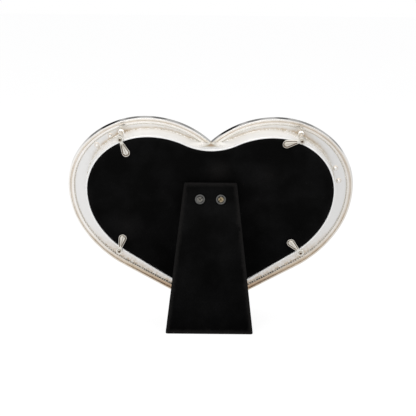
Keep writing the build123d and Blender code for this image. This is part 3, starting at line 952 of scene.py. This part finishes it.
def ornament_pieces():
    """Cups and pearls on the pegs, and rings of solder round the pegs' other ends."""
    solder = Mesh()
    for number, at in enumerate(peg_points, start=1):
        cup = [(0, 2.7), (0.35, 2.66), (0.68, 2.52), (0.86, 2.28), (PEG, 2.0),
               (PEG, FRONT_RELIEF), (2.32, FRONT_RELIEF), (2.4, 0.72), (2.4, -0.72),
               (2.33, -0.8), (2.15, -0.8), (2.08, -0.72), (2.08, 0.4), (2.0, 0.47), (0, 0.47)]
        points, faces = lathe(cup, at, CUP_SIDES)
        piece(f"cup_{number}", on_face(points), faces, silver, [f"ornament_cup_{number}"])
        turn = np.linspace(0, pi, 25)
        ball = np.column_stack([PEARL * np.sin(turn), PEARL * np.cos(turn) - 1.305])
        ball[0, 0] = ball[-1, 0] = 0
        points, faces = lathe(ball, at)
        piece(f"pearl_{number}", on_face(points), faces, pearl, [f"ornament_pearl_{number}"],
              slot="pearl", angle=60)
        ring = [(0.92, -0.03), (1.4, -0.03), (1.4, 0.03), (1.28, 0.13), (1.12, 0.2),
                (1.0, 0.22), (0.92, 0.22), (0.92, -0.03)]
        points, faces = lathe([(radius, BAND + up) for radius, up in ring], at)
        solder.add(points, faces, np.tile([0.8, 1.3, 1.1, 0.6, 0.35, 0.3, 0.4, 0.5], AROUND))
    points, faces, marks = solder.finished()
    piece("peg_solder", on_face(points), faces, silver, ["peg_washers"], angle=40,
          tarnish=marks)


# What lies in the gallery


def panel(outline, normals, front, back, soft_back, soft_front, spacing, waves=0.0, seed=3):
    """A flat panel with soft edges, and points across its faces so that it can be uneven."""
    mesh = Mesh()
    count = len(outline)
    quarter = np.linspace(0, pi / 2, 7)
    rim = [(soft_back * (1 - cos(t)), back - soft_back * (1 - sin(t))) for t in quarter[::-1]]
    rim += [(soft_front * (1 - cos(t)), front + soft_front * (1 - sin(t))) for t in quarter]
    rim = np.array(rim)
    ring = outline[:, None] - normals[:, None] * rim[None, :, :1]
    ring = np.concatenate([ring, np.broadcast_to(rim[None, :, 1:], ring.shape[:2] + (1,))], 2)
    edge = np.tile(np.where(rim[:, 1] > back - soft_back * 1.05, 1.0, 0.4), count)
    mesh.add(ring.reshape(-1, 3), ring_faces(count, len(rim), False), edge)
    grid = strewn(outline, spacing, seed, 0.25)
    for depth, column in ((back, 0), (front, len(rim) - 1)):
        loop = ring[:, column, :2]
        inside = grid[within(grid, loop, spacing * 0.5)] if waves else []
        flat, tris = filled([loop], lambda m: within(m, loop), inside)
        deep = np.full(len(flat), depth)
        away = nearest(flat, loop)
        if waves and depth == back:
            deep = deep - waves * (0.5 + 0.5 * wave(flat)) * fade(away, 0, 2)
        mesh.add(np.column_stack([flat, deep]), tris, fade(away, 1.2, 0))
    return mesh.finished()


def wave(flat):
    """How an uneven panel rises and falls over its face."""
    x, y = flat.T
    return (np.sin(x * 0.31 + 1.3) * np.sin(y * 0.27 + 0.4) + np.sin(x * 0.9 + y * 0.7) * 0.35
            + np.sin(x * 2.1 - y * 1.7) * 0.15) / 1.5


def within(points, loop, margin=0.0):
    """Whether points lie inside a closed loop, by at least a margin."""
    points = np.atleast_2d(points)
    a, b = loop, np.roll(loop, -1, 0)
    out = np.zeros(len(points), bool)
    for i, (x, y) in enumerate(points):
        cross = (a[:, 1] > y) != (b[:, 1] > y)
        (ax, ay), (bx, by) = a[cross].T, b[cross].T
        out[i] = (ax + (y - ay) / (by - ay) * (bx - ax) > x).sum() % 2
    if margin:
        out &= nearest(points, loop) > margin
    return out


def layers():
    """The glass, the picture and the velvet covered board."""
    for name, inset, front, back, soft, finish, node, slot in (
        ("glass", 0.1, BAND, GLASS_BACK, 0.12, clear_glass(), "glass_pane", "picture_glass"),
        ("picture_sheet", 0.6, GLASS_BACK + 0.01, PHOTO_BACK, 0.02, picture_paper(), "photo_sheet",
         "photo_paper"),
    ):
        points, faces, _ = panel(board.grown(-inset), board.normals, front, back, soft, soft, 3.0)
        piece(name, on_face(points), faces, finish, [node], slot=slot)
    points, faces, marks = panel(
        board.points, board.normals, SPACER_BACK, VELVET_BACK, 0.45, 0.05, 1.6, 0.08)
    marks = marks * 0.25
    for x, y, wide, worn in ((4, 88, 5, 0.75), (30, 86, 5, 0.4), (-43, 54, 6, 0.35)):
        marks = marks + worn * bell(np.hypot(points[:, 0] - x, points[:, 1] - y), wide)
    piece("velvet_board", on_face(points), faces, velvet, ["board_velvet", "backing_board"],
          slot="black_velvet", angle=45, worn=marks)


# The easel leg and its hollow rivets


def leg_outline():
    """Corner points of the leg, rounded a little, with normals."""
    corners = [(-LEG_TOP / 2, LEG_OVERHANG), (-LEG_FOOT / 2, -LEG_REACH),
               (LEG_FOOT / 2, -LEG_REACH), (LEG_TOP / 2, LEG_OVERHANG)]
    soft = rounded(corners, LEG_CORNER, 8)
    points = []
    for a, b in zip(soft, np.roll(soft, -1, 0)):
        count = max(1, ceil(hypot(*(b - a)) / 0.8))
        points += [a + (b - a) * k / count for k in range(count)]
    points = np.array(points)
    along = np.roll(points, -1, 0) - np.roll(points, 1, 0)
    along /= np.hypot(*along.T)[:, None]
    return points, np.column_stack([along[:, 1], -along[:, 0]])


def leg_piece():
    """The velvet covered leg, with its foot cut level where it would reach under the table."""
    outline, normals = leg_outline()
    points, faces, marks = panel(
        outline, normals, LEG_LIFT, LEG_LIFT + LEG_THICK, 0.9, 0.6, 1.3, 0.1, 5)
    world = on_leg(points)
    sink = world[:, 2] < 0
    world[sink] -= (world[sink, 2] / LEG_AXES[1, 2])[:, None] * LEG_AXES[1]
    piece("leg_velvet_cover", world, faces, velvet, ["leg_velvet", "leg_core"], "easel_leg",
          "black_velvet", angle=45, worn=marks)


def leg_rivets_piece():
    """Hollow rivets with rolled rims and crimped middles, the right one worn to brass."""
    mesh = Mesh()
    top = LEG_LIFT + LEG_THICK
    height = LEG_OVERHANG - LEG_RIVET_DOWN
    turn = np.linspace(pi * 0.95, -0.2, 13)
    rim_in = 1.78
    mid, curl = (rim_in + EYELET_RIM) / 2, (EYELET_RIM - rim_in) / 2
    roll = [(mid + curl * cos(t), top + 0.12 + max(0.0, sin(t)) * 0.5) for t in turn]
    crimp = [(0.15, 0.3), (0.15, top - 0.16), (0.3, top - 0.06), (0.7, top - 0.02),
             (1.1, top + 0.02), (1.4, top), (1.58, top - 0.08), (1.7, top - 0.16)]
    profile = crimp + roll + [(EYELET_RIM, top - 0.06), (1.5, top - 0.06), (1.5, 0.65),
                              (2.2, 0.65), (2.2, 0.3), (0.15, 0.3)]
    wear = [0.4, 0.6, 0.65, 0.55, 0.4, 0.2, 0.1, 0.0] + [0.0] * (len(profile) - 8)
    for side, brass in ((-1, 0.12), (1, 1.0)):
        at = (side * LEG_RIVET_X, height)
        points, faces = lathe(profile, at)
        around = np.repeat(np.arange(AROUND) * 2 * pi / AROUND, len(profile))
        radius = np.tile([p[0] for p in profile], AROUND)
        deep = fade(np.abs(radius - 1.05), 0.65, 0) * (points[:, 2] > top - 0.6)
        points[:, 2] += deep * (0.07 * np.cos(4 * around + 0.5) + 0.05 * np.cos(7 * around + side))
        mesh.add(points, faces, np.tile(wear, AROUND) * brass)
    points, faces, marks = mesh.finished()
    piece("leg_rivet_pair", on_leg(points), faces, nickel, ["leg_rivets"], "easel_leg",
          "nickel_rivet", angle=50, worn=marks)


border_reach = inward_reach()
face_piece(border_reach)
gallery_piece()
beading_piece(border_reach)
for post_name, post_at in post_points.items():
    post_piece(post_name, post_at)
    button_piece(post_name, post_at)
rivets_piece()
ornament_pieces()
layers()
leg_piece()
leg_rivets_piece()
for node_name, finish in (
    ("spacer_card", card), ("hinge_board_leaf", steel), ("hinge_leg_leaf", steel),
    ("hinge_pin", steel), ("hinge_board_rivets", steel),
):
    node_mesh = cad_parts[node_name].data
    node_mesh.materials.clear()
    node_mesh.materials.append(finish)


# Table, light and camera


def table():
    """A white table that mirrors darker towards the right of the photo."""
    s = material("white table")
    path = s.node("ShaderNodeLightPath")
    seen = (path["Is Camera Ray"] + path["Is Glossy Ray"] + path["Is Transmission Ray"]).clamped()
    across = s.node("ShaderNodeSeparateXYZ", {0: s.place})["X"]
    limits = {0: across, 1: -0.25, 2: 0.05, 3: 0.58, 4: 0.9}
    fall = s.node("ShaderNodeMapRange", limits)["Result"]
    shown = s.blend(path["Is Glossy Ray"], grey(0.865), fall)
    glow = s.node("ShaderNodeEmission", {"Color": shown, "Strength": 1.0})["Emission"]
    matt = s.node("ShaderNodeBsdfDiffuse", {"Color": grey(0.22)})["BSDF"]
    both = s.node("ShaderNodeAddShader", {0: matt, 1: glow})[0]
    plain = s.node("ShaderNodeBsdfDiffuse", {"Color": grey(0.86)})["BSDF"]
    mixed = s.node("ShaderNodeMixShader", {0: seen, 1: plain, 2: both})[0]
    s.node("ShaderNodeOutputMaterial", {"Surface": mixed})
    mesh = bpy.data.meshes.new("table")
    half = 6.0
    corners = [(-half, -half, 0), (half, -half, 0), (half, half, 0), (-half, half, 0)]
    mesh.from_pydata(corners, [], [(0, 1, 2, 3)])
    mesh.materials.append(s.owner)
    top = added("table", mesh)
    top.location.z = -0.0001


def room_light():
    """A white room for what mirrors it: bright behind the camera, dimmer over the far side, with
    dark patches there that show in the border's outer edge."""
    world = bpy.context.scene.world or bpy.data.worlds.new("room")
    bpy.context.scene.world = world
    s = Shader(world)
    path = s.node("ShaderNodeLightPath")
    towards = s.node("ShaderNodeTexCoord")["Generated"]
    way = s.node("ShaderNodeSeparateXYZ", {0: towards})
    height, back = way["Z"], way["Y"]
    far = s.node("ShaderNodeValToRGB", {"Fac": height.clamped()}, stops=[
        (0.0, grey(0.88)), (0.22, grey(0.86)), (0.36, grey(0.56)), (0.87, grey(0.46)),
        (0.95, grey(0.90)),
    ])[0]
    for *way_to, wide, dark in (
        (0.47, -0.583, 0.662, 0.013, 1.0), (0.22, -0.525, 0.822, 0.006, 0.6),
        (-0.116, -0.511, 0.852, 0.005, 0.75), (0.58, -0.655, 0.485, 0.008, 0.6),
        (-0.42, -0.56, 0.714, 0.008, 0.4), (-0.6, -0.73, 0.3, 0.022, 0.5),
    ):
        near = s.towards(towards, way_to)
        patch = ((near - (1.0 - wide)) * (2.2 / wide)).clamped() * dark
        far = s.blend(patch, far, rgb(0.01, 0.01, 0.012))
    behind = s.node("ShaderNodeValToRGB", {"Fac": height.clamped()}, stops=[
        (0.0, rgb(1.14, 1.125, 1.09)), (0.4, rgb(1.14, 1.125, 1.09)), (1.0, grey(0.85)),
    ])[0]
    nearby = s.towards(towards, (0, 0.986, 0.165))
    behind = s.blend(((nearby - 0.80) * 7.0).clamped(), behind, rgb(1.6, 1.585, 1.55))
    glossy = s.blend((back * 2.0 + 0.5).clamped(), far, behind)
    seen = (path["Is Camera Ray"] + path["Is Transmission Ray"]).clamped()
    plain = s.blend(path["Is Glossy Ray"], rgb(0.55, 0.55, 0.56), glossy)
    colour = s.blend(seen, plain, grey(1))
    light = s.node("ShaderNodeBackground", {"Color": colour, "Strength": 1.0})[0]
    s.node("ShaderNodeOutputWorld", {"Surface": light})


def lamp(name, at, aim, size, watts):
    """A round lamp that shines from one point towards another."""
    data = bpy.data.lights.new(name, "AREA")
    data.shape, data.size, data.energy = "DISK", size, watts
    made = added(name, data)
    made.location = at
    made.rotation_mode = "QUATERNION"
    made.rotation_quaternion = (Vector(aim) - Vector(at)).to_track_quat("-Z", "Y")


def camera():
    """The photo's camera, fitted to the outline of the heart and the leg."""
    image_width, focal_length, shift = 416, 1380, (-2.35, 0.6)
    data = bpy.data.cameras.new("camera")
    made = added("camera", data)
    rise, far = radians(9.5), 0.75
    aim = Vector((0, (FACE_AT[1] + 0.41) * MM, (FACE_AT[2] + 55.62) * MM))
    back = Vector((0, cos(rise), sin(rise)))
    made.location = aim + back * far
    made.rotation_mode = "QUATERNION"
    roll = Matrix.Rotation(radians(0.55), 3, back)
    made.rotation_quaternion = (roll @ (-back).to_track_quat("-Z", "Y").to_matrix()).to_quaternion()
    data.sensor_width = 36.0
    data.lens = data.sensor_width * focal_length / image_width
    data.shift_x, data.shift_y = shift[0] / image_width, shift[1] / image_width
    data.clip_start, data.clip_end = 0.01, 20
    bpy.context.scene.camera = made


table()
room_light()
lamp("soft key", (0.5, 0.9, 1.1), (0, 0, 0.05), 0.9, 5.0)
lamp("soft fill", (-0.8, 0.6, 0.7), (0, 0, 0.05), 0.8, 1.5)
lamp("soft top", (0.0, 0.2, 1.3), (0, 0, 0.0), 0.7, 2.5)
camera()
bpy.context.scene.view_settings.view_transform = "Standard"
